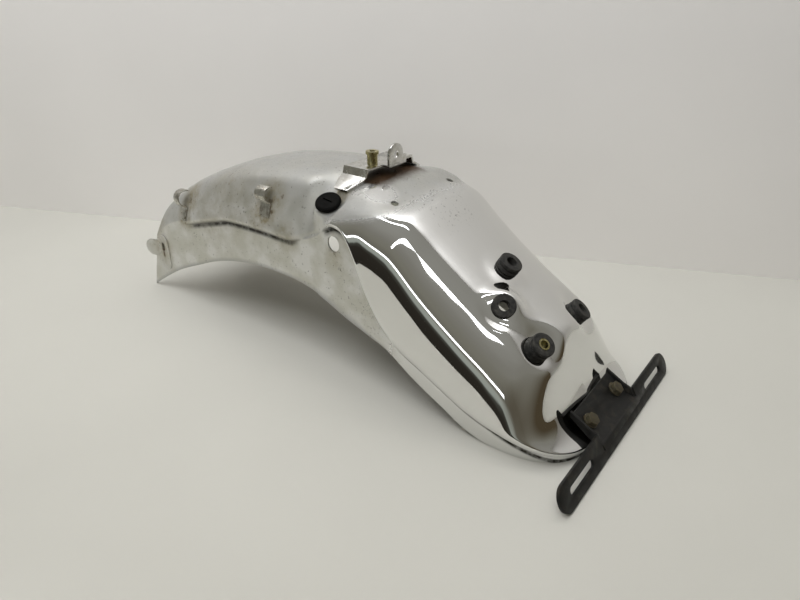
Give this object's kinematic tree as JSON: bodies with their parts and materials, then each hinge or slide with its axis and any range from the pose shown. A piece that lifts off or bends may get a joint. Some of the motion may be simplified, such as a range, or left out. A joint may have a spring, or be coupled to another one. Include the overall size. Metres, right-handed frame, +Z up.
{
  "type": "motorcycle rear fender",
  "caption": "Pressed chrome rear fender with a stepped side flange, seat bracket, wire clamps, tail lamp grommets and a slotted licence plate bracket.",
  "frame": {"origin": "middle of the bounding box on the floor that the fender rests on", "axes": "+X toward the tail, +Y toward the right side of the motorcycle, +Z up as it rests"},
  "size_m": [0.5615, 0.234, 0.206],
  "materials": {
    "chrome_shell": "chrome plated pressed steel, bright at the tail and hazed on the front half",
    "black_paint": "worn satin black paint",
    "rusty_bolt": "dull steel with brown rust",
    "rubber_black": "dusty black rubber",
    "rubber_grey": "dusty dark grey rubber",
    "yellow_zinc": "yellow passivated zinc on steel",
    "bright_zinc": "bright zinc plated sheet steel",
    "dull_steel": "dull plated strap with rust at the foot"
  },
  "bodies": {
    "root": {"fender_shell": "chrome_shell", "plate_bracket": "black_paint", "plate_bolt_left": "rusty_bolt", "plate_bolt_right": "rusty_bolt", "weld_nut_left": "rusty_bolt", "weld_nut_right": "rusty_bolt", "grommet_top": "rubber_black", "grommet_left": "rubber_black", "grommet_right": "rubber_black", "wire_grommet": "rubber_black", "rubber_plug": "rubber_grey", "collar_left": "yellow_zinc", "seat_stud": "yellow_zinc", "seat_bracket": "bright_zinc", "wire_clamp_mid": "dull_steel", "wire_clamp_front": "dull_steel"}
  },
  "joints": []
}
